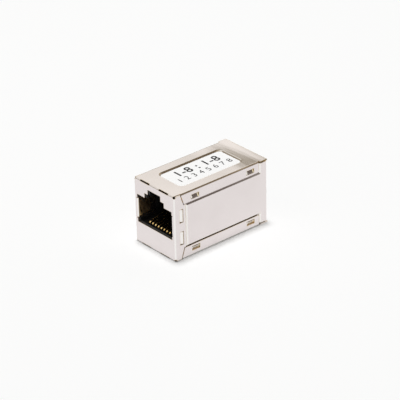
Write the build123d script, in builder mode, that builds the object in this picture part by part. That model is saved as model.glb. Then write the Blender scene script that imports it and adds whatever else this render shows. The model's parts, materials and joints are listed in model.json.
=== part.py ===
"""Shielded inline coupler that joins two eight-way modular plugs end to end.

Two shells of thin nickel-plated sheet are folded round the works and snap together. The front shell is one
cross-shaped blank: an end plate with a top plate and a bottom plate folded back from it, side flaps on both
plates and a flange on each side of the end plate. The rear shell is the other end plate with two long side
panels. The panels lie under the flaps and flanges and hook into their windows with lanced catches. Inside,
two moulded jack housings clamp a small upright circuit board. Each housing holds a carrier with eight sprung
contact wires, and a printed label lies in a recess of the top plate.

Millimetres. X runs through both ports, Z is up, and the origin is the middle of the bottom face.
The front port, named a, is at -X, and the rear port, named b, is at +X.
"""

from build123d import *
from math import atan, cos, degrees, radians, tan
import os

# Overall size over the folded shells
length = 28.4
width = 14.5
height = 16.8

# Sheet metal of both shells
sheet = 0.3
bend = 0.4  # outer radius of a fold
lap_gap = 0.05  # air between two sheets that lap
lap_set = 0.1  # how far flaps and flanges stand behind the raised sides
relief = 0.3  # radius of the hole where three folds meet

# Side flaps of the top and bottom plates
flap_front = 2.1  # from the front face to the start of the flap at its fold
flap_rear = 2.5  # from the rear face to the end of the flap
flap_depth = 2.75  # from the plate's outer face to the flap's free edge
flap_lean = 18.5  # degrees that the flap's front edge leans from upright
flap_corner = 0.25
flap_end_corner = 0.5  # at the flap's rear end
seam = 0.18  # air between a flap and the flange beside it

# Flanges of the front end plate
flange_reach = 3.25  # from the front face to the flange's free edge
flange_drop = 0.12  # from the plate's outer face to the flange's end

# Windows for the catches
window_length = 2.4
window_height = 1.1
window_drop = 1.7  # from the plate's outer face to the window's middle
window_front = 6.25  # from the front face to the first window's middle
window_rear = 5.2  # from the rear face to the second window's middle
flange_window_height = 3.4
flange_window_width = 1.1
flange_window_front = 2.05  # from the front face to the flange window's middle
flange_window_rise = 2.87  # from mid-height to the flange window's middle

# Lanced catches of the side panels
catch_rise = 0.38  # how far the free end stands out of the panel
catch_air = 0.12  # between a catch and its window
lance_air = 0.08  # cut round three sides of a catch

# Raised parts of each side panel
pad_front_gap = 0.1  # from the flange's free edge to the foot of the riser
pad_top_gap = 0.05  # from the flap's free edge to the foot of the riser
strip_gap = 0.05  # from the flap's end to the foot of the riser
riser_slope = 45.0  # degrees that the riser leans from square
riser_edge = 0.12
plain_gap = 0.2  # from the flap's end to the plain edge of the plate
panel_gap = 0.2  # between the side panel's edges and the top and bottom plates
panel_front = 0.7  # from the front face to the side panel's end
overrun = 1.0  # how far the rear strip's blank runs past the top and bottom before it is cut off

# Slots along the fold between the end plate and the top and bottom plates
fold_slot_length = 3.25
fold_slot_width = 0.36
fold_slot_middle = 3.3  # from the mid-plane to the slot's middle
fold_slot_cut = 1.0

# Label and its pressed recess
recess_length = 19.2
recess_width = 8.6
recess_depth = 0.45
recess_corner = 1.3
recess_slope = 25.0  # degrees that the recess wall leans from upright
recess_edge = 0.1  # softened rim of the recess
label_air = 0.1  # between the label and the foot of the recess wall
label_thickness = 0.1

# Plug opening
port_side = 1.26  # from the side face to the side of the opening
port_height = 6.9
port_drop = 2.8  # from mid-height down to the floor of the opening
step_width = 6.6
step_height = 1.2
slot_width = 4.2
slot_height = 2.5
plate_margin = 0.15  # the opening in the sheet is larger all round
plug_depth = 10.3  # from the end face to the plug's stop
lip = 1.45  # from the end face to the wall that the latch hooks behind
latch_depth = 8.5  # from the end face to the end of the latch's room
mouth_edge = 0.2  # lead-in round the mouth
mouth_slope = 45.0

# Grounding fingers beside the plug
finger_height = 5.0
finger_reach = 5.0
finger_peak = 3.4  # from the end face to the finger's highest point
finger_bow = 0.35
finger_offset = 0.06  # from the side of the opening to the finger's root
finger_air = 0.2

# Jack housings
housing_air = 0.1  # between a housing and the side panels
housing_corner = 0.3  # bevel of the upright edges
floor_thickness = 0.8
pocket_floor = 1.35  # from the bottom face to the floor of the carrier's pocket
pocket_front = 1.1  # from the end face to the front of the pocket
rear_wall = 1.5  # behind the plug's stop
hollow_side = 1.8
hollow_top = 1.1
core_width = 1.9
core_depth = 2.6
core_front = 1.6  # from the end face to the cored pockets
core_rear = 1.2
core_side = 0.6

# Pegs that place the circuit board
peg_radius = 0.5
peg_length = 0.9
peg_air = 0.06
peg_wall = 0.9  # from the housing's side to the peg's middle
peg_high = 5.0  # from mid-height
peg_low = 0.2

# Contact wires
contact_count = 8
contact_pitch = 1.02
wire_width = 0.35
wire_thickness = 0.3
wire_drop = 1.0  # from the port's floor down to the middle of the run
wire_front = 1.25  # from the end face to the wire's foremost point
wire_bend = 0.6  # radius of the hook, to the middle of the wire
wire_lean = 14.5  # degrees that the sprung leg rises
wire_end = 10.9  # from the end face to the leg's free end
tail_drop = 1.8  # from the run down to the lower row of tails
tail_front = 1.3  # from the board to the drop of a lower tail
tail_bend = 0.5
tail_short = 0.1  # how far a tail stops short of the board's far face
comb_slot = 0.55
comb_reach = 9.3  # from the end face to the end of the slots in the floor
comb_depth = 1.0
comb_height = 3.2

# Contact carriers
carrier_air = 0.05
carrier_side = 0.6  # from the outermost groove to the carrier's side
carrier_front = 1.8  # from the end face to the carrier's nose
carrier_back = 2.4  # from the board to the back of the grooved block
carrier_wall = 1.0
groove_air = 0.05

# Circuit board
board_thickness = 1.0
board_side = 0.2  # inside the housing's sides
board_foot = 0.35  # above the housing's bottom
board_head = 0.3  # below the housing's top
board_gap = 0.05
board_hole = 0.3  # radius of the plated holes

# Places that follow from the sizes above
front_face = -length / 2
rear_face = length / 2
side_face = width / 2
middle = height / 2
lap_face = side_face - lap_set
lap_fold = lap_face - bend
panel_outer = lap_face - sheet - lap_gap
panel_inner = panel_outer - sheet
panel_top = height - sheet - panel_gap
flap_fold = height - bend
flap_edge = height - flap_depth
flap_x0 = front_face + flap_front
flap_x1 = rear_face - flap_rear
flap_run = (flap_fold - flap_edge) * tan(radians(flap_lean))
flange_x1 = front_face + flange_reach
flange_top = flap_edge - seam
flange_seam = seam / cos(radians(flap_lean))
pad_x0 = flange_x1 + pad_front_gap
pad_top = flap_edge - pad_top_gap
strip_x0 = flap_x1 + strip_gap
strip_middle = (strip_x0 + rear_face) / 2
plain_x0 = flap_x1 + plain_gap
window_z = height - window_drop
window_places = [front_face + window_front, rear_face - window_rear]
flange_window_x = front_face + flange_window_front
flange_window_z = middle + flange_window_rise
recess_floor = height - recess_depth
recess_inset = recess_edge * tan(radians(recess_slope))
rim_slope = degrees(atan((recess_edge + recess_inset) / recess_edge))

port_half = side_face - port_side
port_width = 2 * port_half
port_floor = middle - port_drop
port_middle = port_floor + port_height / 2
plug_stop = front_face + plug_depth
lip_x = front_face + lip
latch_end = front_face + latch_depth
finger_face = port_half + finger_offset
finger_cut = finger_height + 2 * finger_air

housing_front = front_face + sheet + lap_gap
housing_rear = -board_thickness / 2 - board_gap
housing_half = panel_inner - housing_air
housing_bottom = sheet + lap_gap
housing_top = recess_floor - sheet - lap_gap
core_y = housing_half - core_side - core_width / 2
pocket_x0 = front_face + pocket_front
pocket_top = port_floor - floor_thickness
hollow_x0 = plug_stop + rear_wall
peg_side = housing_half - peg_wall
peg_places = [(peg_side, middle + peg_high), (-peg_side, middle - peg_low)]

contact_places = [(i - (contact_count - 1) / 2) * contact_pitch for i in range(contact_count)]
wire_level = port_floor - wire_drop
wire_rows = [wire_level, wire_level - tail_drop]
hook_x = front_face + wire_front + wire_thickness / 2 + wire_bend
carrier_x0 = front_face + carrier_front
carrier_x1 = housing_rear - carrier_air
carrier_x2 = -board_thickness / 2 - carrier_back
carrier_half = contact_places[-1] + comb_slot / 2 + carrier_side
carrier_bottom = pocket_floor + carrier_air
carrier_top = pocket_top - carrier_air
groove_floor = wire_level - wire_thickness / 2 - groove_air
shelf_top = groove_floor - tail_drop
board_bottom = housing_bottom + board_foot
board_top = housing_top - board_head

corner = (Align.MIN, Align.MIN)
low_front = (Align.MIN, Align.CENTER, Align.MIN)


def port_outline(margin):
    """The stepped outline that a plug and its latch pass through, upright on a plane square to X."""
    base = port_floor - margin
    with Locations((0, base)):
        Rectangle(port_width + 2 * margin, port_height + 2 * margin, align=(Align.CENTER, Align.MIN))
        Rectangle(
            step_width + 2 * margin, port_height + step_height + 2 * margin, align=(Align.CENTER, Align.MIN)
        )
        Rectangle(
            slot_width + 2 * margin, port_height + slot_height + 2 * margin, align=(Align.CENTER, Align.MIN)
        )


def end_opening(plane):
    """Cuts the plug opening through an end plate, wider where the grounding fingers fold in."""
    with BuildSketch(plane) as opening:
        port_outline(plate_margin)
        with Locations((0, port_middle)):
            Rectangle(2 * (finger_face + bend), finger_cut)
    extrude(opening.sketch, amount=sheet, mode=Mode.SUBTRACT)


def grounding_finger(side):
    """One finger, folded in from an end plate beside the opening and bowed towards the plug.

    The side is 1 for the rear end plate and -1 for the front one.
    """
    face = side * rear_face
    with BuildSketch(Plane.XY.offset(port_middle - finger_height / 2)) as finger:
        with BuildLine():
            FilletPolyline(
                (face, finger_face + bend + sheet),
                (face, finger_face),
                (face - side * finger_peak, finger_face - finger_bow),
                (face - side * finger_reach, finger_face),
                radius=bend,
            )
            offset(amount=sheet, side=Side.LEFT if side < 0 else Side.RIGHT)
        make_face()
    extrude(finger.sketch, amount=finger_height)


def lanced_catch(root, free, start, span, upright):
    """One catch cut from the side panel and bent outwards, free at one end.

    Root and free are the places of its two ends. Upright says that they are heights, with the catch
    spanning X from start, or else they are places along X, with the catch spanning Z from start.
    """
    low = min(root, free)
    high = max(root, free)
    cut_low = low - (lance_air if low == free else 0)
    cut_high = high + (lance_air if high == free else 0)
    with BuildSketch(Plane.XZ.offset(-panel_outer)) as cut:
        if upright:
            with Locations((start - lance_air, cut_low)):
                Rectangle(span + 2 * lance_air, cut_high - cut_low, align=corner)
        else:
            with Locations((cut_low, start - lance_air)):
                Rectangle(cut_high - cut_low, span + 2 * lance_air, align=corner)
    extrude(cut.sketch, amount=sheet, mode=Mode.SUBTRACT)
    across = [
        (panel_inner, root),
        (panel_outer, root),
        (panel_outer + catch_rise, free),
        (panel_inner + catch_rise, free),
    ]
    with BuildSketch(Plane.YZ.offset(start) if upright else Plane.XY.offset(start)) as tongue:
        with BuildLine():
            Polyline([point if upright else (point[1], point[0]) for point in across], close=True)
        make_face()
    extrude(tongue.sketch, amount=span)


# Front shell: a quarter is folded up first, then mirrored over mid-height and over the mid-plane
with BuildPart() as front_shell:
    with BuildSketch(Plane.XZ):
        with BuildLine():
            FilletPolyline((front_face, middle), (front_face, height), (rear_face, height), radius=bend)
            offset(amount=sheet, side=Side.RIGHT)
        make_face()
    extrude(amount=-lap_fold)

    # Fold between the top plate and its side flap
    with BuildSketch(Plane.YZ.offset(flap_x0)):
        with BuildLine():
            FilletPolyline(
                (lap_fold - sheet, height), (lap_face, height), (lap_face, flap_fold - sheet), radius=bend
            )
            offset(amount=sheet, side=Side.RIGHT)
        make_face()
    extrude(amount=flap_x1 - flap_x0)

    # Fold between the end plate and its flange
    with BuildSketch(Plane.XY.offset(middle)):
        with BuildLine():
            FilletPolyline(
                (front_face, lap_fold - sheet),
                (front_face, lap_face),
                (front_face + bend + sheet, lap_face),
                radius=bend,
            )
            offset(amount=sheet, side=Side.RIGHT)
        make_face()
    extrude(amount=flap_fold - middle)

    # Flat of the flap, with two windows
    with BuildSketch(Plane.XZ.offset(-lap_face)) as flap_flat:
        with BuildLine():
            Polyline(
                (flap_x0, flap_fold),
                (flap_x1, flap_fold),
                (flap_x1, flap_edge),
                (flap_x0 + flap_run, flap_edge),
                close=True,
            )
        make_face()
        for end, radius in ((0, flap_corner), (-1, flap_end_corner)):
            free_corners = flap_flat.vertices().group_by(Axis.Y)[0].sort_by(Axis.X)
            fillet(free_corners[end], radius=radius)
        with Locations([(x, window_z) for x in window_places]):
            Rectangle(window_length, window_height, mode=Mode.SUBTRACT)
    extrude(amount=sheet)

    # Flat of the flange, cut back beside the flap, with one window
    with BuildSketch(Plane.XZ.offset(-lap_face)) as flange_flat:
        with BuildLine():
            Polyline(
                (front_face + bend, middle),
                (flange_x1, middle),
                (flange_x1, flange_top),
                (flap_x0 - flange_seam + (flap_fold - flange_top) * tan(radians(flap_lean)), flange_top),
                (flap_x0 - flange_seam, flap_fold),
                (flap_x0 - flange_seam, height - flange_drop),
                (front_face + bend, height - flange_drop),
                close=True,
            )
        make_face()
        fillet(flange_flat.vertices().group_by(Axis.X)[-1].sort_by(Axis.Y)[-1], radius=flap_corner)
        with Locations((flange_window_x, flange_window_z)):
            Rectangle(flange_window_width, flange_window_height, mode=Mode.SUBTRACT)
    extrude(amount=sheet)

    # Plain edge of the top plate over the rear strip
    with BuildSketch(Plane.XY.offset(height - sheet)):
        with Locations((plain_x0, lap_fold - sheet)):
            Rectangle(rear_face - plain_x0, side_face - lap_fold + sheet, align=corner)
    extrude(amount=sheet)

    # Relief hole where three folds meet
    with BuildSketch(
        Plane(origin=(front_face, lap_face, height), x_dir=(1, 1, 0), z_dir=(-1, 1, 1))
    ):
        Circle(relief)
    extrude(amount=-fold_slot_cut, mode=Mode.SUBTRACT)

    # Slot that weakens the fold between the end plate and the top plate
    with BuildSketch(Plane(origin=(front_face, 0, height), x_dir=(0, 1, 0), z_dir=(-1, 0, 1))):
        with Locations((fold_slot_middle, 0)):
            Rectangle(fold_slot_length, fold_slot_width)
    extrude(amount=-fold_slot_cut, mode=Mode.SUBTRACT)

    mirror(about=Plane.XY.offset(middle))
    end_opening(Plane.YZ.offset(front_face))
    grounding_finger(-1)
    mirror(about=Plane.XZ)

    # Pressed recess for the label: the sheet bulges below by as much as it is pressed in
    wall_shift = sheet / cos(radians(recess_slope)) - sheet * tan(radians(recess_slope))
    with BuildSketch(Plane.XY.offset(height - sheet)):
        RectangleRounded(
            recess_length + 2 * wall_shift, recess_width + 2 * wall_shift, recess_corner + wall_shift
        )
    extrude(amount=-recess_depth, taper=recess_slope)
    with BuildSketch(Plane.XY.offset(height)):
        RectangleRounded(
            recess_length + 2 * recess_edge, recess_width + 2 * recess_edge, recess_corner + recess_edge
        )
    extrude(amount=-recess_edge, taper=rim_slope, mode=Mode.SUBTRACT)
    with BuildSketch(Plane.XY.offset(height - recess_edge)):
        RectangleRounded(
            recess_length - 2 * recess_inset, recess_width - 2 * recess_inset, recess_corner - recess_inset
        )
    extrude(amount=recess_edge - recess_depth, taper=recess_slope, mode=Mode.SUBTRACT)

# Rear shell: one side panel is pressed and folded, then mirrored over the mid-plane
riser_back = sheet / cos(radians(riser_slope)) - sheet * tan(radians(riser_slope))
with BuildPart() as rear_shell:
    with BuildSketch(Plane.XZ.offset(-panel_outer)):
        with Locations((pad_x0, middle)):
            Rectangle(rear_face - bend - pad_x0, 2 * (pad_top - middle), align=(Align.MIN, Align.CENTER))
        with Locations((strip_x0, middle)):
            Rectangle(rear_face - bend - strip_x0, height + 2 * overrun, align=(Align.MIN, Align.CENTER))
    extrude(amount=panel_outer - side_face, taper=riser_slope)
    raised = rear_shell.faces().sort_by(Axis.Y)[-1]
    risers = raised.edges().filter_by(lambda e: e.center().X < strip_middle and 0 < e.center().Z < height)
    fillet(risers, radius=riser_edge)

    # Flat of the panel
    with BuildSketch(Plane.XZ.offset(-panel_outer)):
        with Locations((front_face + panel_front, middle)):
            Rectangle(
                strip_x0 + bend - front_face - panel_front,
                2 * (panel_top - middle),
                align=(Align.MIN, Align.CENTER),
            )
    extrude(amount=sheet)

    # Rear strip folded into half of the end plate
    with BuildSketch(Plane.XY.offset(height - panel_top)):
        with BuildLine():
            FilletPolyline(
                (strip_x0 + 2 * bend, side_face), (rear_face, side_face), (rear_face, 0), radius=bend
            )
            offset(amount=sheet, side=Side.RIGHT)
        make_face()
    extrude(amount=2 * panel_top - height)

    # Hollow behind the raised parts
    with BuildSketch(Plane.XZ.offset(-panel_inner)):
        with Locations((pad_x0 + riser_back, middle)):
            Rectangle(
                rear_face - sheet - pad_x0 - riser_back,
                2 * (pad_top - riser_back - middle),
                align=(Align.MIN, Align.CENTER),
            )
        with Locations((strip_x0 + riser_back, middle)):
            Rectangle(
                rear_face - sheet - strip_x0 - riser_back,
                height + 2 * overrun,
                align=(Align.MIN, Align.CENTER),
            )
    extrude(amount=panel_outer - side_face, taper=riser_slope, mode=Mode.SUBTRACT)

    # Cut off above and below the panel
    for edge, side in ((panel_top, 1), (height - panel_top, -1)):
        with BuildSketch(Plane.XY.offset(edge)):
            Rectangle(2 * length, 2 * width)
        extrude(amount=side * height, mode=Mode.SUBTRACT)

    # Catches under the flaps stand out away from the plates, those under the flanges away from the end
    for x in window_places:
        start = x - window_length / 2 + catch_air
        span = window_length - 2 * catch_air
        root = window_z + window_height / 2 - catch_air
        free = window_z - window_height / 2 + catch_air
        lanced_catch(root, free, start, span, True)
        lanced_catch(height - root, height - free, start, span, True)
    for z in (flange_window_z, height - flange_window_z):
        lanced_catch(
            flange_window_x - flange_window_width / 2 + catch_air,
            flange_window_x + flange_window_width / 2 - catch_air,
            z - flange_window_height / 2 + catch_air,
            flange_window_height - 2 * catch_air,
            False,
        )

    end_opening(Plane.YZ.offset(rear_face - sheet))
    grounding_finger(1)
    mirror(about=Plane.XZ)

# Printed label on the floor of the recess
foot = recess_depth * tan(radians(recess_slope)) + label_air
with BuildPart() as label:
    with BuildSketch(Plane.XY.offset(recess_floor)):
        RectangleRounded(recess_length - 2 * foot, recess_width - 2 * foot, recess_corner - foot)
    extrude(amount=label_thickness)

# Jack housing of the front port
with BuildPart() as jack_housing_a:
    with Locations((housing_front, 0, housing_bottom)):
        Box(
            housing_rear - housing_front, 2 * housing_half, housing_top - housing_bottom, align=low_front
        )
    chamfer(jack_housing_a.edges().filter_by(Axis.Z), length=housing_corner)

    # Mouth with its stepped keyway, then the room for the plug and for its latch behind the lip
    with BuildSketch(Plane.YZ.offset(housing_front)):
        port_outline(0)
    extrude(amount=lip_x - housing_front, mode=Mode.SUBTRACT)
    with BuildSketch(Plane.YZ.offset(housing_front)):
        port_outline(mouth_edge)
    extrude(amount=mouth_edge, taper=mouth_slope, mode=Mode.SUBTRACT)
    with Locations((housing_front, 0, port_floor)):
        Box(plug_stop - housing_front, port_width, port_height, align=low_front, mode=Mode.SUBTRACT)
    with Locations((lip_x, 0, port_middle)):
        Box(
            latch_end - lip_x,
            step_width,
            port_height / 2 + slot_height,
            align=low_front,
            mode=Mode.SUBTRACT,
        )

    # Windows in both side walls for the grounding fingers
    with Locations((housing_front, 0, port_middle - finger_cut / 2)):
        Box(
            front_face + finger_reach + 2 * finger_air - housing_front,
            width,
            finger_cut,
            align=low_front,
            mode=Mode.SUBTRACT,
        )

    # Pocket for the carrier, open at the rear, and a hollow behind the stop
    with Locations((pocket_x0, 0, pocket_floor)):
        Box(
            housing_rear - pocket_x0,
            2 * (carrier_half + carrier_air),
            pocket_top - pocket_floor,
            align=low_front,
            mode=Mode.SUBTRACT,
        )
    with Locations((hollow_x0, 0, pocket_top - carrier_air)):
        Box(
            housing_rear - hollow_x0,
            2 * (housing_half - hollow_side),
            housing_top - hollow_top - pocket_top + carrier_air,
            align=low_front,
            mode=Mode.SUBTRACT,
        )

    # Slots for the wires through the floor and up the stop
    for y in contact_places:
        with Locations((pocket_x0, y, pocket_top - carrier_air)):
            Box(
                front_face + comb_reach - pocket_x0,
                comb_slot,
                floor_thickness + 2 * carrier_air,
                align=low_front,
                mode=Mode.SUBTRACT,
            )
        with Locations((plug_stop, y, port_floor)):
            Box(comb_depth, comb_slot, comb_height, align=low_front, mode=Mode.SUBTRACT)

    # Pockets cored out of the thick top on both sides of the latch's room
    for y in (1, -1):
        with Locations((front_face + core_front, y * core_y, housing_top)):
            Box(
                housing_rear - core_rear - front_face - core_front,
                core_width,
                core_depth,
                align=(Align.MIN, Align.CENTER, Align.MAX),
                mode=Mode.SUBTRACT,
            )

    # Pegs for the circuit board
    with BuildSketch(Plane.YZ.offset(housing_rear)):
        with Locations(peg_places):
            Circle(peg_radius)
    extrude(amount=peg_length)

# Contact carrier of the front port, with one groove for each wire and a shelf under the tails
with BuildPart() as contact_carrier_a:
    with Locations((carrier_x0, 0, carrier_bottom)):
        Box(carrier_x2 - carrier_x0, 2 * carrier_half, carrier_top - carrier_bottom, align=low_front)
        Box(carrier_x1 - carrier_x0, 2 * carrier_half, shelf_top - carrier_bottom, align=low_front)
    for y in contact_places:
        with Locations((carrier_x0, y, groove_floor)):
            Box(
                carrier_x2 - carrier_x0,
                wire_width + 2 * groove_air,
                carrier_top - groove_floor,
                align=low_front,
                mode=Mode.SUBTRACT,
            )
    with Locations((carrier_x0 + carrier_wall, 0, carrier_bottom)):
        Box(
            carrier_x2 - carrier_x0 - 2 * carrier_wall,
            2 * (carrier_half - carrier_wall),
            groove_floor - carrier_bottom - carrier_wall,
            align=low_front,
            mode=Mode.SUBTRACT,
        )

# Circuit board, with a plated hole for each tail and four holes for the pegs
with BuildPart() as circuit_board:
    with BuildSketch(Plane.YZ.offset(-board_thickness / 2)):
        with Locations((0, board_bottom)):
            Rectangle(
                2 * (housing_half - board_side), board_top - board_bottom, align=(Align.CENTER, Align.MIN)
            )
        with Locations([(y, z) for y in contact_places for z in wire_rows]):
            Circle(board_hole, mode=Mode.SUBTRACT)
        with Locations(peg_places + [(-y, z) for y, z in peg_places]):
            Circle(peg_radius + peg_air, mode=Mode.SUBTRACT)
    extrude(amount=board_thickness)


def contact_wire(place, row):
    """One contact of the front port: its tail in the board, the run, the hook and the sprung leg."""
    tail_x = board_thickness / 2 - tail_short
    drop_x = -board_thickness / 2 - tail_front
    level = wire_rows[row]
    with BuildPart() as wire:
        with BuildLine(Plane.XZ.offset(-place)):
            if row:
                run = FilletPolyline(
                    (tail_x, level), (drop_x, level), (drop_x, wire_level), (hook_x, wire_level),
                    radius=tail_bend,
                )
            else:
                run = Line((tail_x, level), (hook_x, level))
            hook = JernArc((hook_x, wire_level), (-1, 0), wire_bend, wire_lean - 180)
            rise = front_face + wire_end - hook_x + wire_bend * tan(radians(wire_lean))
            PolarLine(hook @ 1, rise, wire_lean, length_mode=LengthMode.HORIZONTAL)
        with BuildSketch(Plane(origin=(tail_x, place, level), x_dir=(0, 1, 0), z_dir=(-1, 0, 0))):
            Rectangle(wire_width, wire_thickness)
        sweep()
    return wire.part


pieces = {
    "front_shell": front_shell.part,
    "rear_shell": rear_shell.part,
    "label": label.part,
    "jack_housing_a": jack_housing_a.part,
    "contact_carrier_a": contact_carrier_a.part,
    "circuit_board": circuit_board.part,
}
for i, place in enumerate(contact_places):
    pieces[f"contact_a{i + 1}"] = contact_wire(place, i % 2)

# The rear port is the front port turned half round
for name in [name for name in pieces if name.startswith(("jack", "contact"))]:
    pieces[name.replace("_a", "_b")] = pieces[name].rotate(Axis.Z, 180)

os.makedirs("parts", exist_ok=True)
for name, piece in pieces.items():
    piece.label = name
    export_step(piece, f"parts/{name}.step")
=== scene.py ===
"""Looks of the shielded inline coupler: materials, the print on the label, light and camera.

Metres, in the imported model's frame: X runs through both ports, Z is up, and the part stands on z = 0.
"""

import json
from math import cos, radians, sin
from types import SimpleNamespace

import bpy
from mathutils import Matrix, Vector


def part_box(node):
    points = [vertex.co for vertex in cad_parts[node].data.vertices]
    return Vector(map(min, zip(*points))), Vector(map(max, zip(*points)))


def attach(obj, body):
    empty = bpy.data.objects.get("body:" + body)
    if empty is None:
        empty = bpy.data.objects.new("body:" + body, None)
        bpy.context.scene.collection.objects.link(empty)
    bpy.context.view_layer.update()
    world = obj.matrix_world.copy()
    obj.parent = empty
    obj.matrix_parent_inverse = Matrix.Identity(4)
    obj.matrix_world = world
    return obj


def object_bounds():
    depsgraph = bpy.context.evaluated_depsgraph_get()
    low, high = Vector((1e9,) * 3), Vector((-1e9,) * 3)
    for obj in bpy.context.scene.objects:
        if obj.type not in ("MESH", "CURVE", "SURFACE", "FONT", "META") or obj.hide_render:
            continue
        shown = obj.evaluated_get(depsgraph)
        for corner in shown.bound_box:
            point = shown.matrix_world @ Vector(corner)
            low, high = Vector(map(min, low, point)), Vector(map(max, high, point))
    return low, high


MM = 0.001

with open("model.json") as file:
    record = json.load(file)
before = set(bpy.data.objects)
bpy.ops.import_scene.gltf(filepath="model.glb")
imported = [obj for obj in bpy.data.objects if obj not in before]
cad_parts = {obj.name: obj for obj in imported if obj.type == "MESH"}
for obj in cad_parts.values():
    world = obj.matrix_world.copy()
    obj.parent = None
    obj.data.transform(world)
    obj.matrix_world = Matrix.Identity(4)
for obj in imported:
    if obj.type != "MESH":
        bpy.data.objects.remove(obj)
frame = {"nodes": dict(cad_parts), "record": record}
nodes = frame["nodes"]
cad_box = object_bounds()
cad_half = (cad_box[1] - cad_box[0]) / 2
cad_middle = (cad_box[1] + cad_box[0]) / 2

# Places on the shells
SIDE_DEPTH = 0.8 * MM  # from a side face to behind the sheets that lap there
END_DEPTH = 0.32 * MM  # from an end face to just behind its sheet
FOLD = 0.5 * MM  # from an outer face to past the fold beside it
FLAP_DEPTH = 2.75 * MM  # from the top or bottom to the free edge of a flap
FLAP_CLEAR = 3.0 * MM  # from the top or bottom to just past a flap
FLAP_ENDS = 12.0 * MM  # from the middle to past both ends of a flap's free edge
PLAIN_LENGTH = 2.5 * MM  # from the rear end to the flaps, where the plates have plain edges
FLANGE = 3.25 * MM  # from the front end to the free edge of a flange
WINDOW_MIDDLES = (-7.95 * MM, 9.0 * MM)  # the long windows in the flaps, along X
WINDOW_DROP = 1.7 * MM  # from the top or bottom to the middle of a long window
WINDOW_LENGTH = 2.4 * MM
WINDOW_HEIGHT = 1.1 * MM
CATCH_END = 0.42  # from a long window's middle to the end of its catch, as a share of its length
CATCH_END_REACH = 0.09  # half the length of that end, as a share of the window's length

# Reach of the sheet's wear, its painted highlights and its painted shade
RIM = 0.26 * MM  # radius of the rounding that finds the rims
SHELTER = 0.8 * MM  # shade is painted where something stands this close, and this far from the floor
SEAM_HALF = 0.4 * MM  # half the width in which a seam has its own wear and painted shade
DARK_LENGTH = (6.0 * MM, 11.0 * MM)  # from the middle to where the darkest painted shade starts to fade and is gone

# Where masks start and where they are full
HIGHLIGHT_SLANT = (0.12, 0.38)  # products of two parts of the normal
DARK_SLOPE_SLANT = (0.10, 0.40)
HIGHLIGHT_TURN = (0.02, 0.06)  # one less the cosine of the normal's turn where an edge is rounded
WORN_TURN = (0.08, 0.15)
LEVEL = (0.7, 0.9)  # the normal's part along Z
EDGE_ON = 0.5  # the normal's part that tells a face from its edge
# Where painted shade is full and where there is none, as shares of the surroundings that are open
CORNERS = (0.25, 0.75)
DEPTHS = (0.10, 0.55)

# Colours of the sheet
NICKEL = ((0.765, 0.706, 0.696), (0.790, 0.732, 0.722))
# Painted highlight on the upright folds, the slopes that face down and out, and the sharp bends
PAINTED_HIGHLIGHT = (0.93, 0.905, 0.885)
WORN_RIM = (0.62, 0.47, 0.29)
CUT_EDGE = (0.74, 0.61, 0.42)
DULL_EDGE = (0.60, 0.54, 0.53)
# Painted dark reflection on the slopes that face up and out, browner on the outer folds
PAINTED_SLOPE_REFLECTION = (0.49, 0.44, 0.43)
PAINTED_FOLD_REFLECTION = (0.40, 0.31, 0.22)
# Painted shadow line along the top plate's plain edges over the rear strips
PAINTED_SHADOW_LINE = (0.20, 0.14, 0.07)
# Painted glints at the ends of the catches, white at one end and brassy at the other
PAINTED_WHITE_GLINT = (1.0, 0.98, 0.95)
PAINTED_BRASS_GLINT = (1.0, 0.92, 0.72)
# Painted shade in corners, gaps and seams: golden, darkest in the deep gaps and along the lower seam,
# greyer along the upper seam
PAINTED_CREVICE_SHADE = (0.74, 0.55, 0.32)
PAINTED_DEEP_SHADE = (0.20, 0.14, 0.09)
PAINTED_SEAM_SHADE = (0.55, 0.49, 0.48)

# Roughness of the sheet, and what is added to it
SATIN = (0.20, 0.28)
SCUFFED = 0.15
MATT = 0.5

# Unevenness of the sheet, which only its reflections show. Each span is where a shape starts and is full
WAVES = 0.04 * MM
CROWN = 0.25 * MM  # fall of each long face from its middle to its ends
DISH = 0.34 * MM  # rise of the top plate's rear end from its middle to both sides
DISH_SPAN = (2.0 * MM, 12.0 * MM)
DROP = 0.44 * MM  # fall of the top plate towards its rear end
DROP_SPAN = (6.0 * MM, 13.0 * MM)
LIFT = 0.30 * MM  # rise of the top plate at its rear end
LIFT_SPAN = (10.8 * MM, 15.2 * MM)
STREAKS = 0.07 * MM
GRAIN = 0.0012 * MM

# Black of the two plastics
HOUSING_BLACK = ((0.010, 0.010, 0.011), (0.016, 0.016, 0.017))
CARRIER_BLACK = ((0.016, 0.016, 0.018), (0.024, 0.024, 0.026))
UNEVEN_GLOSS = 0.08  # how far their roughness strays to both sides

NOISE_VALUES = (0.35, 0.65)  # between them lies most of a noise


def new_object(name, data):
    """An object in the scene that holds some data."""
    made = bpy.data.objects.new(name, data)
    bpy.context.scene.collection.objects.link(made)
    return made


def principled(name):
    """A new material and its node tree, with the shader wired to the output."""
    material = bpy.data.materials.new(name)
    material.use_nodes = True
    tree = material.node_tree
    tree.nodes.clear()
    output = tree.nodes.new("ShaderNodeOutputMaterial")
    shader = tree.nodes.new("ShaderNodeBsdfPrincipled")
    tree.links.new(shader.outputs["BSDF"], output.inputs["Surface"])
    return material, tree, shader


def axes_of(tree, vector):
    """The X, Y and Z of a vector."""
    node = tree.nodes.new("ShaderNodeSeparateXYZ")
    tree.links.new(vector, node.inputs["Vector"])
    return [node.outputs[axis] for axis in "XYZ"]


def object_coordinates(tree, stretch=(1, 1, 1)):
    """Object coordinates, multiplied by a number for each axis."""
    source = tree.nodes.new("ShaderNodeTexCoord")
    mapping = tree.nodes.new("ShaderNodeMapping")
    mapping.inputs["Scale"].default_value = stretch
    tree.links.new(source.outputs["Object"], mapping.inputs["Vector"])
    return mapping.outputs["Vector"]


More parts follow.
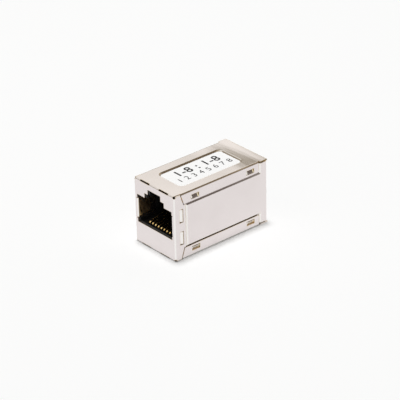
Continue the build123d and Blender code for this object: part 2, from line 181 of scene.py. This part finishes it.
def noise(tree, frequency, detail=3.0, stretch=(1, 1, 1)):
    """The value of a noise texture whose features are about 1/frequency metres across."""
    texture = tree.nodes.new("ShaderNodeTexNoise")
    texture.inputs["Scale"].default_value = frequency
    texture.inputs["Detail"].default_value = detail
    tree.links.new(object_coordinates(tree, stretch), texture.inputs["Vector"])
    return texture.outputs["Fac"]


def remap(tree, value, low, high):
    """A value from 0 to 1 turned into one from low to high."""
    node = tree.nodes.new("ShaderNodeMapRange")
    node.inputs["To Min"].default_value = low
    node.inputs["To Max"].default_value = high
    tree.links.new(value, node.inputs["Value"])
    return node.outputs["Result"]


def two_colours(tree, value, dark, light):
    """A ramp from one colour to the other over the values that a noise mostly has."""
    ramp = tree.nodes.new("ShaderNodeValToRGB")
    for end, position, colour in zip(ramp.color_ramp.elements, NOISE_VALUES, (dark, light)):
        end.position = position
        end.color = (*colour, 1.0)
    tree.links.new(value, ramp.inputs["Fac"])
    return ramp.outputs["Color"]


def calculate(tree, operation, *values):
    """A Math node whose values are numbers or sockets."""
    node = tree.nodes.new("ShaderNodeMath")
    node.operation = operation
    for socket, value in zip(node.inputs, values):
        if isinstance(value, (int, float)):
            socket.default_value = value
        else:
            tree.links.new(value, socket)
    return node.outputs["Value"]


def ramp_up(tree, value, start, end):
    """0 below the start, 1 above the end and smooth between them."""
    node = tree.nodes.new("ShaderNodeMapRange")
    node.interpolation_type = "SMOOTHSTEP"
    node.inputs["From Min"].default_value = start
    node.inputs["From Max"].default_value = end
    tree.links.new(value, node.inputs["Value"])
    return node.outputs["Result"]


def all_of(tree, *masks):
    """The product of several masks."""
    product = masks[0]
    for mask in masks[1:]:
        product = calculate(tree, "MULTIPLY", product, mask)
    return product


def rest_of(tree, mask):
    """All that a mask leaves out."""
    return calculate(tree, "SUBTRACT", 1.0, mask)


def near(tree, value, middle, reach):
    """A mask of where a value is within reach of a middle."""
    apart = calculate(tree, "ABSOLUTE", calculate(tree, "SUBTRACT", value, middle))
    return calculate(tree, "LESS_THAN", apart, reach)


def mix_colours(tree, share, first, second):
    """A colour that goes from the first to the second as the share goes from 0 to 1."""
    node = tree.nodes.new("ShaderNodeMix")
    node.data_type = "RGBA"
    tree.links.new(share, node.inputs["Factor"])
    for socket, colour in ((node.inputs["A"], first), (node.inputs["B"], second)):
        if isinstance(colour, tuple):
            socket.default_value = (*colour, 1.0)
        else:
            tree.links.new(colour, socket)
    return node.outputs["Result"]


def bump(tree, value, height, normal=None):
    """A bump of a height in metres, on top of another normal if one is given."""
    node = tree.nodes.new("ShaderNodeBump")
    node.inputs["Strength"].default_value = 1.0
    node.inputs["Distance"].default_value = height
    tree.links.new(value, node.inputs["Height"])
    if normal is not None:
        tree.links.new(normal, node.inputs["Normal"])
    return node.outputs["Normal"]


def face_of(tree):
    """Where a point of the sheet lies and how it faces.

    x, y and z are its place, and away holds its distances from the middle along X, Y and Z. Lean holds
    the normal's parts along X and Y, without their signs, and rise is its part along Z.
    """
    source = tree.nodes.new("ShaderNodeTexCoord")
    x, y, z = axes_of(tree, source.outputs["Object"])
    from_middle = calculate(tree, "SUBTRACT", z, cad_middle.z)
    away = [calculate(tree, "ABSOLUTE", distance) for distance in (x, y, from_middle)]
    *sideways, rise = axes_of(tree, source.outputs["Normal"])
    lean = [calculate(tree, "ABSOLUTE", part) for part in sideways]
    return SimpleNamespace(x=x, y=y, z=z, away=away, lean=lean, rise=rise)


def cut_edges(tree, face):
    """A mask of the blanks' cut edges, seen on the sides and round the openings of the end plates."""
    clear = calculate(tree, "LESS_THAN", face.away[2], cad_half.z - FOLD)
    masks = []
    for wall, along, depth, margin in ((1, 0, SIDE_DEPTH, FOLD + SIDE_DEPTH), (0, 1, END_DEPTH, FOLD)):
        outer = calculate(tree, "GREATER_THAN", face.away[wall], cad_half[wall] - depth)
        inside = calculate(tree, "LESS_THAN", face.away[along], cad_half[along] - margin)
        edge_on = calculate(tree, "LESS_THAN", face.lean[wall], EDGE_ON)
        masks.append(all_of(tree, outer, inside, edge_on, clear))
    return calculate(tree, "MAXIMUM", *masks)


def highlights_and_worn_rims(tree, face):
    """Masks of the painted highlights and of the sheet's rims, worn through to the brass.

    The highlights are painted on the upright folds, the slopes that face down and out, and every sharp
    bend.
    """
    down = calculate(tree, "MAXIMUM", calculate(tree, "MULTIPLY", face.rise, -1.0), 0.0)
    upright = calculate(tree, "MULTIPLY", *face.lean)
    under = calculate(tree, "MULTIPLY", down, face.lean[1])
    folds = ramp_up(tree, calculate(tree, "ADD", upright, under), *HIGHLIGHT_SLANT)
    rounded = tree.nodes.new("ShaderNodeBevel")
    rounded.inputs["Radius"].default_value = RIM
    sharp = tree.nodes.new("ShaderNodeNewGeometry")
    same = tree.nodes.new("ShaderNodeVectorMath")
    same.operation = "DOT_PRODUCT"
    tree.links.new(rounded.outputs["Normal"], same.inputs[0])
    tree.links.new(sharp.outputs["Normal"], same.inputs[1])
    turned = rest_of(tree, same.outputs["Value"])
    highlit = calculate(tree, "MAXIMUM", folds, ramp_up(tree, turned, *HIGHLIGHT_TURN))
    return highlit, ramp_up(tree, turned, *WORN_TURN)


def painted_dark_slopes(tree, face):
    """A mask of the slopes that face up and out, along the long edges, where a dark reflection is painted.
    """
    upward = calculate(tree, "MAXIMUM", face.rise, 0.0)
    return ramp_up(tree, calculate(tree, "MULTIPLY", upward, face.lean[1]), *DARK_SLOPE_SLANT)


def painted_shadow_line(tree, face):
    """A mask of the top plate's plain edges, over the rear strips, where the darkest shadow line is
    painted.
    """
    past_flap = calculate(tree, "GREATER_THAN", face.x, cad_half.x - PLAIN_LENGTH)
    high = calculate(tree, "GREATER_THAN", face.z, 2 * cad_half.z - FOLD)
    return all_of(tree, past_flap, high, calculate(tree, "GREATER_THAN", face.lean[1], EDGE_ON))


def catch_ends(tree, face):
    """Masks of both ends of the catches in the long windows: where a white glint is painted and where a
    brassy glint is painted.
    """
    level = near(tree, face.away[2], cad_half.z - WINDOW_DROP, WINDOW_HEIGHT / 2)
    masks = []
    for side in (-1, 1):
        ends = [middle + side * CATCH_END * WINDOW_LENGTH for middle in WINDOW_MIDDLES]
        ends = [near(tree, face.x, end, CATCH_END_REACH * WINDOW_LENGTH) for end in ends]
        masks.append(calculate(tree, "MULTIPLY", calculate(tree, "MAXIMUM", *ends), level))
    return masks


def closed_seam(tree, face):
    """A mask of the upright seams between the flanges and the raised panels, which are closed.

    It has the like places at the rear as well, where the panels are plain.
    """
    beside_flange = near(tree, face.away[0], cad_half.x - FLANGE, SEAM_HALF)
    between_flaps = calculate(tree, "LESS_THAN", face.away[2], cad_half.z - FLAP_CLEAR)
    return calculate(tree, "MULTIPLY", beside_flange, between_flaps)


def long_seam(tree, face, height):
    """A mask of the two long seams at one height, along the flaps' free edges and the raised panels."""
    level = near(tree, face.z, height, SEAM_HALF)
    return calculate(tree, "MULTIPLY", level, calculate(tree, "LESS_THAN", face.away[0], FLAP_ENDS))


def painted_hollow_shade(tree, face):
    """Masks of the corners and narrow gaps, where shade is painted, and of their deepest part.

    Neither comes close to the floor.
    """
    open_share = tree.nodes.new("ShaderNodeAmbientOcclusion")
    open_share.inputs["Distance"].default_value = SHELTER
    off_floor = ramp_up(tree, face.z, FOLD, SHELTER)
    masks = []
    for limits in (CORNERS, DEPTHS):
        inside = rest_of(tree, ramp_up(tree, open_share.outputs["AO"], *limits))
        masks.append(calculate(tree, "MULTIPLY", inside, off_floor))
    return masks


def sheet_colour(tree, face, highlit, rims, ends):
    """The nickel's colour, with its worn rims and its cut edges, and with painted highlights, glints, dark
    reflections, a shadow line and shade in its seams.
    """
    open_seams = rest_of(tree, closed_seam(tree, face))
    upper_seam = long_seam(tree, face, 2 * cad_half.z - FLAP_DEPTH)
    lower_seam = long_seam(tree, face, FLAP_DEPTH)
    rims = calculate(tree, "MULTIPLY", rims, open_seams)
    cut = cut_edges(tree, face)
    dull = calculate(tree, "MULTIPLY", upper_seam, calculate(tree, "MAXIMUM", rims, cut))
    outer_fold = calculate(tree, "GREATER_THAN", face.away[2], cad_half.z - 2 * FOLD)

    # Painted shade in the corners and gaps, kept off the painted highlights and the closed seams
    corners, depths = painted_hollow_shade(tree, face)
    white_glints, brass_glints = ends
    unhighlit = rest_of(tree, calculate(tree, "MAXIMUM", highlit, white_glints))
    shaded = all_of(tree, corners, unhighlit, open_seams)
    mid_length = rest_of(tree, ramp_up(tree, face.away[0], *DARK_LENGTH))
    deep = calculate(tree, "MAXIMUM", calculate(tree, "MULTIPLY", depths, mid_length), lower_seam)
    shade_colour = mix_colours(tree, deep, PAINTED_CREVICE_SHADE, PAINTED_DEEP_SHADE)

    layers = (
        (highlit, PAINTED_HIGHLIGHT),
        (rims, WORN_RIM),
        (cut, CUT_EDGE),
        (dull, DULL_EDGE),
        (painted_dark_slopes(tree, face), mix_colours(tree, outer_fold, PAINTED_SLOPE_REFLECTION, PAINTED_FOLD_REFLECTION)),
        (painted_shadow_line(tree, face), PAINTED_SHADOW_LINE),
        (white_glints, PAINTED_WHITE_GLINT),
        (brass_glints, PAINTED_BRASS_GLINT),
        (shaded, mix_colours(tree, upper_seam, shade_colour, PAINTED_SEAM_SHADE)),
    )
    colour = two_colours(tree, noise(tree, frequency=130.0), *NICKEL)
    for mask, layer in layers:
        colour = mix_colours(tree, mask, colour, layer)
    return colour


def sheet_roughness(tree, grain, highlit, ends):
    """Satin that follows the grain, scuffed where the highlights are painted and matt at the catches' ends.
    """
    satin = remap(tree, grain, *SATIN)
    scuffed = calculate(tree, "MULTIPLY", highlit, SCUFFED)
    matt = calculate(tree, "MULTIPLY", calculate(tree, "MAXIMUM", *ends), MATT)
    return calculate(tree, "ADD", satin, calculate(tree, "MAXIMUM", scuffed, matt))


def uneven_sheet(tree, face, grain):
    """The normal of sheet that is wavy and crowned, has a grain, and is bent at the top's rear end."""
    waves = noise(tree, frequency=90.0, detail=1.0)
    along = calculate(tree, "DIVIDE", face.x, cad_half.x)
    across = calculate(tree, "DIVIDE", face.y, cad_half.y)
    crowned = calculate(tree, "MULTIPLY", along, along)
    top = ramp_up(tree, face.rise, *LEVEL)
    spans = (DISH_SPAN, DROP_SPAN, LIFT_SPAN)
    rear_end, dropped, lifted = (all_of(tree, ramp_up(tree, face.x, *span), top) for span in spans)
    dished = all_of(tree, across, across, rear_end)
    streaks = noise(tree, frequency=400.0, detail=1.0, stretch=(1.7, 0.35, 1))
    streaked = calculate(tree, "MULTIPLY", streaks, rear_end)
    layers = (
        (crowned, -CROWN),
        (dished, DISH),
        (dropped, -DROP),
        (lifted, LIFT),
        (streaked, STREAKS),
        (grain, GRAIN),
    )
    normal = bump(tree, waves, WAVES)
    for shape, height in layers:
        normal = bump(tree, shape, height, normal)
    return normal


def nickel_sheet():
    """Satin nickel on brass strip: rolling grain along X, slow waves, bare cut edges, painted highlights on
    the folds, and painted shade and dark reflections.
    """
    material, tree, shader = principled("satin_nickel")
    shader.inputs["Metallic"].default_value = 1.0
    face = face_of(tree)
    highlit, rims = highlights_and_worn_rims(tree, face)
    ends = catch_ends(tree, face)
    grain = noise(tree, frequency=9000.0, detail=2.0, stretch=(0.04, 1, 1))
    tree.links.new(sheet_colour(tree, face, highlit, rims, ends), shader.inputs["Base Color"])
    tree.links.new(sheet_roughness(tree, grain, highlit, ends), shader.inputs["Roughness"])
    tree.links.new(uneven_sheet(tree, face, grain), shader.inputs["Normal"])
    return material


def moulded_plastic(name, dark, light, roughness):
    """Moulded plastic with a fine spark-eroded surface."""
    material, tree, shader = principled(name)
    mottle = noise(tree, frequency=900.0)
    tree.links.new(two_colours(tree, mottle, dark, light), shader.inputs["Base Color"])
    pits = noise(tree, frequency=7000.0, detail=2.0)
    satin = remap(tree, pits, roughness - UNEVEN_GLOSS, roughness + UNEVEN_GLOSS)
    tree.links.new(satin, shader.inputs["Roughness"])
    tree.links.new(bump(tree, pits, height=0.006 * MM), shader.inputs["Normal"])
    return material


def gold_wire():
    """Gold plate on drawn wire, with drawing marks and slightly worn patches."""
    material, tree, shader = principled("gold_plate")
    shader.inputs["Metallic"].default_value = 1.0
    wear = noise(tree, frequency=1500.0)
    gold = two_colours(tree, wear, dark=(0.72, 0.47, 0.17), light=(0.95, 0.70, 0.33))
    tree.links.new(gold, shader.inputs["Base Color"])
    marks = noise(tree, frequency=12000.0, detail=2.0, stretch=(0.05, 1, 1))
    tree.links.new(remap(tree, marks, low=0.12, high=0.3), shader.inputs["Roughness"])
    tree.links.new(bump(tree, marks, height=0.002 * MM), shader.inputs["Normal"])
    return material


def board_laminate():
    """Green solder mask with the weave of the glass showing faintly."""
    material, tree, shader = principled("green_laminate")
    weave = tree.nodes.new("ShaderNodeTexChecker")
    weave.inputs["Scale"].default_value = 2500.0
    tree.links.new(object_coordinates(tree), weave.inputs["Vector"])
    green = two_colours(tree, weave.outputs["Fac"], dark=(0.012, 0.13, 0.05), light=(0.016, 0.16, 0.06))
    tree.links.new(green, shader.inputs["Base Color"])
    coat = noise(tree, frequency=2000.0)
    tree.links.new(remap(tree, coat, low=0.25, high=0.4), shader.inputs["Roughness"])
    return material


def label_film():
    """White label stock with a soft sheen and a very fine grain."""
    material, tree, shader = principled("label_stock")
    fibres = noise(tree, frequency=2500.0)
    white = two_colours(tree, fibres, dark=(0.94, 0.94, 0.95), light=(0.96, 0.96, 0.97))
    tree.links.new(white, shader.inputs["Base Color"])
    grain = noise(tree, frequency=9000.0, detail=2.0)
    tree.links.new(remap(tree, grain, low=0.45, high=0.6), shader.inputs["Roughness"])
    tree.links.new(bump(tree, grain, height=0.002 * MM), shader.inputs["Normal"])
    return material


def print_ink():
    """Dark grey ink, a little uneven."""
    material, tree, shader = principled("grey_ink")
    spots = noise(tree, frequency=6000.0)
    grey = two_colours(tree, spots, dark=(0.012, 0.011, 0.012), light=(0.030, 0.028, 0.030))
    tree.links.new(grey, shader.inputs["Base Color"])
    shader.inputs["Roughness"].default_value = 0.6
    return material


materials = {
    "shell_metal": nickel_sheet(),
    "housing_plastic": moulded_plastic("black_housing", *HOUSING_BLACK, roughness=0.42),
    "carrier_plastic": moulded_plastic("dark_carrier", *CARRIER_BLACK, roughness=0.5),
    "contact_gold": gold_wire(),
    "board_laminate": board_laminate(),
    "label_film": label_film(),
}
for part in frame["record"]["subparts"]:
    surface = nodes[part["node"]].data
    surface.materials.clear()
    surface.materials.append(materials[part["material_slot"]])

# Print on the label: the range of contacts that run straight through, above the eight contact numbers.
# Widened strokes would close the 4, so the numbers have none
PRINT_RISE = 0.01 * MM  # from the label to mid-thickness of the ink
INK_HALF = 0.004 * MM  # half the ink's thickness
PRINT_X = 0.2 * MM  # the middle of both lines
SPACING = 1.1  # between characters, as a multiple of the font's own
label_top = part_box("label")[1].z
ink = print_ink()


def label_text(name, body, size, bold, y):
    """A line of numbers, laid flat on the label and read from the -Y side.

    Bold is how far the strokes are widened, as a share of the size.
    """
    curve = bpy.data.curves.new(name, "FONT")
    curve.body = body
    curve.size = size
    curve.align_x = "CENTER"
    curve.align_y = "CENTER"
    curve.space_character = SPACING
    curve.offset = bold * size
    curve.extrude = INK_HALF
    piece = new_object(name, curve)
    piece.location = (PRINT_X, y, label_top + PRINT_RISE)
    piece.data.materials.append(ink)
    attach(piece, "root")


label_text("label_range", "1-8 : 1-8", size=3.5 * MM, bold=0.02, y=1.5 * MM)
label_text("label_numbers", "1 2 3 4 5 6 7 8", size=2.45 * MM, bold=0.0, y=-1.4 * MM)

# Floor, large enough to fill every reflection that looks down
FLOOR_REACH = 3.0
FLOOR_DROP = 0.02 * MM
FLOOR_COLOUR = (0.96, 0.965, 0.975, 1)
CAMERA_GLOW = 0.2  # share of plain white that the camera sees in it
MIRROR_GLOW = 0.8  # share that reflections show of it
CONTACT = 0.3 * MM  # the glow starts to fade this far from the part, and has ended this far under it


def glow_share(tree):
    """How much of the floor is plain white, by what looks at it and how far it is from the part."""
    seen = tree.nodes.new("ShaderNodeLightPath")
    to_camera = calculate(tree, "MULTIPLY", seen.outputs["Is Camera Ray"], CAMERA_GLOW)
    to_mirror = calculate(tree, "MULTIPLY", seen.outputs["Is Glossy Ray"], MIRROR_GLOW)
    place = tree.nodes.new("ShaderNodeTexCoord")
    x, y = axes_of(tree, place.outputs["Object"])[:2]
    gaps = []
    for distance, half in ((x, cad_half.x), (y, cad_half.y)):
        gaps.append(calculate(tree, "SUBTRACT", calculate(tree, "ABSOLUTE", distance), half))
    clear = ramp_up(tree, calculate(tree, "MAXIMUM", *gaps), -CONTACT, CONTACT)
    return calculate(tree, "MULTIPLY", calculate(tree, "MAXIMUM", to_camera, to_mirror), clear)


def white_floor():
    """White matt board that keeps the part's shadow and glows a little."""
    material, tree, shader = principled("white_floor")
    shader.inputs["Base Color"].default_value = FLOOR_COLOUR
    shader.inputs["Roughness"].default_value = 0.9
    shader.inputs["Specular IOR Level"].default_value = 0.0
    glow = tree.nodes.new("ShaderNodeEmission")
    glow.inputs["Strength"].default_value = 1.0
    blend = tree.nodes.new("ShaderNodeMixShader")
    tree.links.new(glow_share(tree), blend.inputs["Fac"])
    tree.links.new(shader.outputs["BSDF"], blend.inputs[1])
    tree.links.new(glow.outputs["Emission"], blend.inputs[2])
    output = next(node for node in tree.nodes if node.type == "OUTPUT_MATERIAL")
    tree.links.new(blend.outputs["Shader"], output.inputs["Surface"])
    return material


floor_mesh = bpy.data.meshes.new("floor")
signs = ((-1, -1), (1, -1), (1, 1), (-1, 1))
floor_mesh.from_pydata([(x * FLOOR_REACH, y * FLOOR_REACH, 0) for x, y in signs], [], [(0, 1, 2, 3)])
floor_mesh.materials.append(white_floor())
floor = new_object("floor", floor_mesh)
floor.location.z = -FLOOR_DROP

# Room, which the metal mirrors. Heights and depths in it are parts of the direction along Z and Y
ROOM_COLOUR = (1.0, 0.99, 0.93)
SEEN_COLOUR = (1.0, 1.0, 1.0)  # what the camera sees instead
# Dark places: azimuth and elevation of the middle, and the angles from it where each is full and ends
DARK_PLACES = [(46.0, 53.0, 10.0, 24.0), (35.0, 4.0, 10.0, 20.0)]
DARK_COLOUR = (0.12, 0.085, 0.06)
# The low part of the room behind the part
LOW_COLOUR = (0.34, 0.30, 0.22)
LOW_HEIGHT = (0.22, 0.50)  # up to where it is full, and where it ends
LOW_BEHIND = (0.2, 0.5)  # where it starts, and from where it is full
# A pale wall high behind the part, which the left of its top mirrors
BRIGHT_PLACE = (140.0, 43.0)
BRIGHT_EDGE = 20.0
BRIGHT_COLOUR = (1.2, 1.19, 1.13)
# Reflections show a ceiling dimmer than the walls, and the room lights every surface only this much
CEILING_HEIGHT = (0.6, 0.95)
CEILING_SHADE = 0.55
ROOM_LIGHT = 0.28


def direction(azimuth, elevation):
    """The direction from the part at an azimuth, which counts from -Y towards +X, and an elevation."""
    a = radians(azimuth)
    e = radians(elevation)
    return Vector((sin(a) * cos(e), -cos(a) * cos(e), sin(e)))


def round_place(tree, place, middle, edge, core=0.0):
    """A round mask in the room, full within the core's angle of its middle and ending at the edge's."""
    across = tree.nodes.new("ShaderNodeVectorMath")
    across.operation = "DOT_PRODUCT"
    across.inputs[1].default_value = direction(*middle)
    tree.links.new(place.outputs["Generated"], across.inputs[0])
    return ramp_up(tree, across.outputs["Value"], cos(radians(edge)), cos(radians(core)))


def studio_world():
    """A pale room for the metal to mirror, dark in two places in front and low behind the part.

    The camera sees plain white instead.
    """
    world = bpy.data.worlds.new("studio")
    world.use_nodes = True
    tree = world.node_tree
    tree.nodes.clear()
    output = tree.nodes.new("ShaderNodeOutputWorld")
    background = tree.nodes.new("ShaderNodeBackground")
    tree.links.new(background.outputs["Background"], output.inputs["Surface"])
    place = tree.nodes.new("ShaderNodeTexCoord")
    depth, height = axes_of(tree, place.outputs["Generated"])[1:]
    seen = tree.nodes.new("ShaderNodeLightPath")

    room = ROOM_COLOUR
    for azimuth, elevation, core, edge in DARK_PLACES:
        dark = round_place(tree, place, (azimuth, elevation), edge, core)
        room = mix_colours(tree, dark, room, DARK_COLOUR)
    low = rest_of(tree, ramp_up(tree, height, *LOW_HEIGHT))
    behind = ramp_up(tree, depth, *LOW_BEHIND)
    room = mix_colours(tree, all_of(tree, low, behind), room, LOW_COLOUR)
    wall = round_place(tree, place, BRIGHT_PLACE, BRIGHT_EDGE)
    room = mix_colours(tree, wall, room, BRIGHT_COLOUR)
    shown = mix_colours(tree, seen.outputs["Is Camera Ray"], room, SEEN_COLOUR)
    tree.links.new(shown, background.inputs["Color"])

    above = ramp_up(tree, height, *CEILING_HEIGHT)
    walls = rest_of(tree, calculate(tree, "MULTIPLY", above, 1.0 - CEILING_SHADE))
    mirrored = calculate(tree, "MULTIPLY", walls, seen.outputs["Is Glossy Ray"])
    strength = calculate(tree, "MAXIMUM", seen.outputs["Is Camera Ray"], mirrored)
    tree.links.new(calculate(tree, "MAXIMUM", strength, ROOM_LIGHT), background.inputs["Strength"])
    return world


def soft_box(name, azimuth, elevation, distance, size, power):
    """A square area light that faces the part and has no reflection in it."""
    lamp = bpy.data.lights.new(name, "AREA")
    lamp.shape = "SQUARE"
    lamp.size = size
    lamp.energy = power
    holder = new_object(name, lamp)
    towards = direction(azimuth, elevation)
    holder.location = towards * distance
    holder.rotation_mode = "QUATERNION"
    holder.rotation_quaternion = towards.to_track_quat("Z", "Y")
    holder.visible_glossy = False


bpy.context.scene.world = studio_world()
soft_box("key", azimuth=165.0, elevation=86.5, distance=1.5, size=0.24, power=16.8)

# Camera as fitted to the photograph
AZIMUTH = -40.27
ELEVATION = 28.14
ROLL = -1.36
DISTANCE = 0.450
PIXELS = 400
PIXELS_PER_METRE = 4273.0  # at the part's middle
MIDDLE_PIXEL = (201.41, 199.31)
SENSOR = 36.0  # millimetres, as is the lens
camera_data = bpy.data.cameras.new("camera")
camera_data.sensor_width = SENSOR
camera_data.lens = SENSOR * DISTANCE * PIXELS_PER_METRE / PIXELS
camera_data.shift_x = (PIXELS / 2 - MIDDLE_PIXEL[0]) / PIXELS
camera_data.shift_y = (MIDDLE_PIXEL[1] - PIXELS / 2) / PIXELS
camera_data.clip_start = 0.01
camera_data.clip_end = 20.0
camera = new_object("camera", camera_data)
back = direction(AZIMUTH, ELEVATION)
aim = (-back).to_track_quat("-Z", "Y")
roll = Matrix.Rotation(radians(ROLL), 3, "Z").to_quaternion()
camera.location = cad_middle + back * DISTANCE
camera.rotation_mode = "QUATERNION"
camera.rotation_quaternion = aim @ roll
bpy.context.scene.camera = camera

bpy.context.scene.view_settings.view_transform = "Standard"
